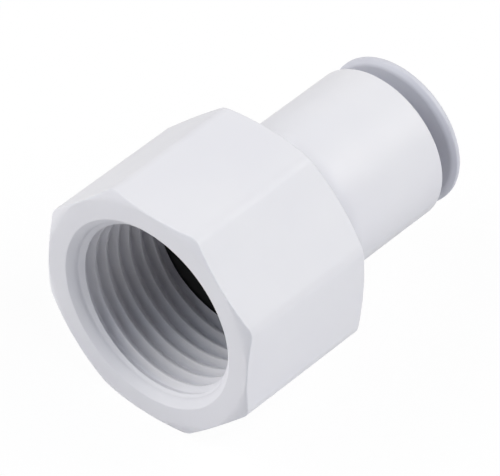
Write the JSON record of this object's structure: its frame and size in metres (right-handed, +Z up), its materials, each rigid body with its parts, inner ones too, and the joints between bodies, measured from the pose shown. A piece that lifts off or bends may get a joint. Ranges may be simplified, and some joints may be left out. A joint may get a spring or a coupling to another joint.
{
  "type": "push-fit female adapter fitting",
  "caption": "White plastic push-fit fitting: an octagonal collar with a female thread at one end, and a round barrel with a sliding collet for a plain tube at the other.",
  "frame": {"origin": "on the fitting's axis, halfway between the thread's mouth and the collet's outer face, with the collet fully out", "axes": "+Y along the axis, from the thread's mouth to the collet; +Z up, out of the collar's top flat; +X to the right seen from the thread's mouth. The fitting rests on the collar's bottom flat."},
  "size_m": [0.021, 0.0308, 0.021],
  "materials": {
    "white_moulding": "smooth satin moulding",
    "collet_moulding": "smooth satin moulding",
    "seal_rubber": "dull moulded rubber",
    "tooth_steel": "stamped stainless sheet"
  },
  "bodies": {
    "fitting": {"body": "white_moulding", "thread_washer": "seal_rubber", "o_ring": "seal_rubber"},
    "release_collet": {"collet": "collet_moulding", "grip_tooth_1": "tooth_steel", "grip_tooth_2": "tooth_steel", "grip_tooth_3": "tooth_steel", "grip_tooth_4": "tooth_steel"}
  },
  "joints": [
    {"name": "collet_slide", "type": "slide", "parent": "fitting", "child": "release_collet", "axis": [0, -1, 0], "range_m": [0, 0.0016]}
  ]
}
